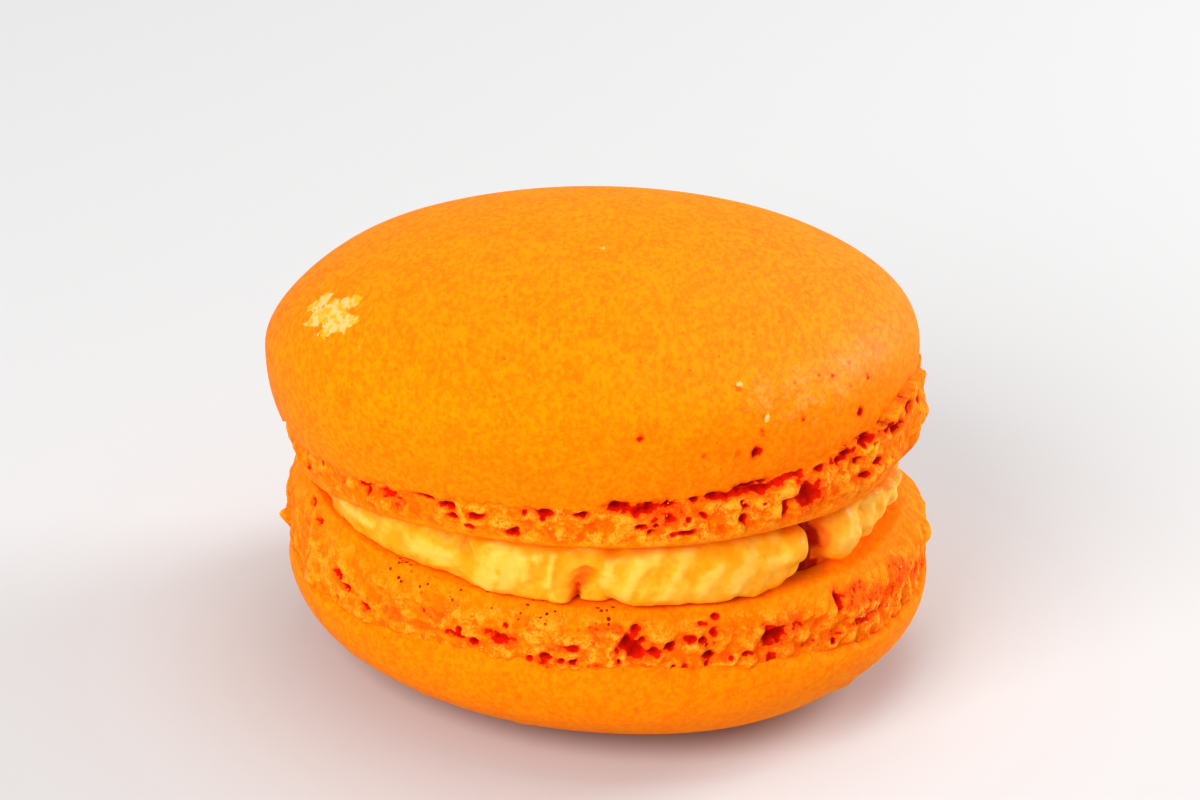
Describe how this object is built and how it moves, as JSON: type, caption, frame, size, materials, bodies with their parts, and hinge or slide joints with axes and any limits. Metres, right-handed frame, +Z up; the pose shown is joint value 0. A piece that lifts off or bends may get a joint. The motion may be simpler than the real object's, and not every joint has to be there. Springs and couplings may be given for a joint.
{
  "type": "french macaron",
  "caption": "Orange French macaron: domed almond meringue shells with craggy feet, sandwiching a tilted wedge of piped yellow cream.",
  "frame": {"origin": "on the resting plane, under the middle of the whole outline", "axes": "+Z up through both shells; the gape between the shells opens towards -Y and +X"},
  "size_m": [0.052, 0.0498, 0.0344],
  "materials": {
    "meringue": "dry baked meringue, matt with a faint skin sheen, craggy and porous at the foot",
    "cream": "soft whipped butter cream, satin"
  },
  "bodies": {
    "root": {"bottom_shell": "meringue", "filling": "cream", "top_shell": "meringue"}
  },
  "joints": []
}
